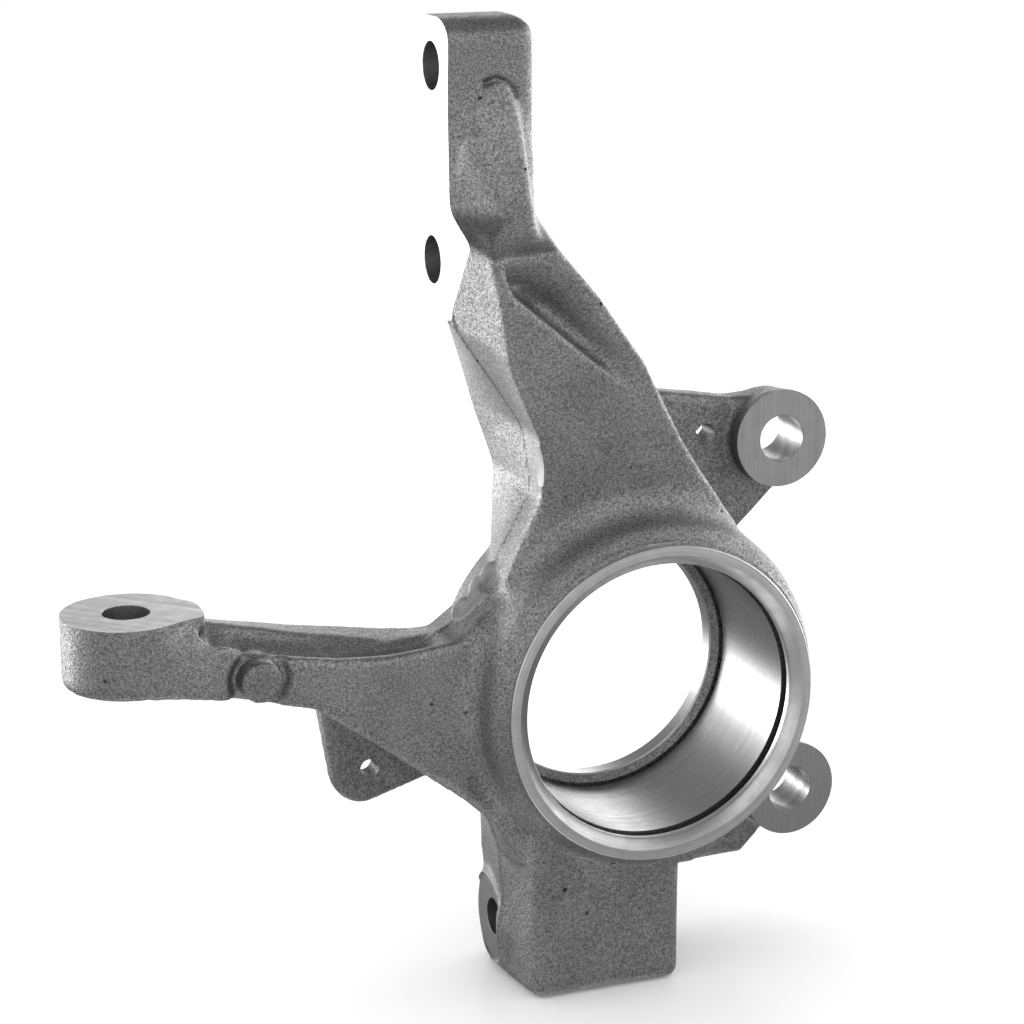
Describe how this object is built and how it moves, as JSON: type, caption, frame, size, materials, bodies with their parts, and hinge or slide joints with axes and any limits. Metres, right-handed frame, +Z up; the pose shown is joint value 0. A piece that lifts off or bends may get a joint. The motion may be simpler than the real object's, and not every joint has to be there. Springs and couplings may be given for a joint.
{
  "type": "steering knuckle",
  "caption": "Cast steering knuckle: round bearing housing with an upright strut arm, a steering arm with a tie-rod boss, caliper lugs and a slit ball-joint boss.",
  "frame": {"origin": "on the bearing bore's axis, at the outboard end of the bearing seat, where the bearing's outer face lies", "axes": "+X towards the caliper lugs, +Y inboard along the bearing bore, +Z up towards the strut holes; the steering arm points to -X"},
  "size_m": [0.2199, 0.0521, 0.2582],
  "materials": {
    "casting": "as cast, sand textured, with machined faces"
  },
  "bodies": {
    "root": {"knuckle_casting": "casting"}
  },
  "joints": []
}
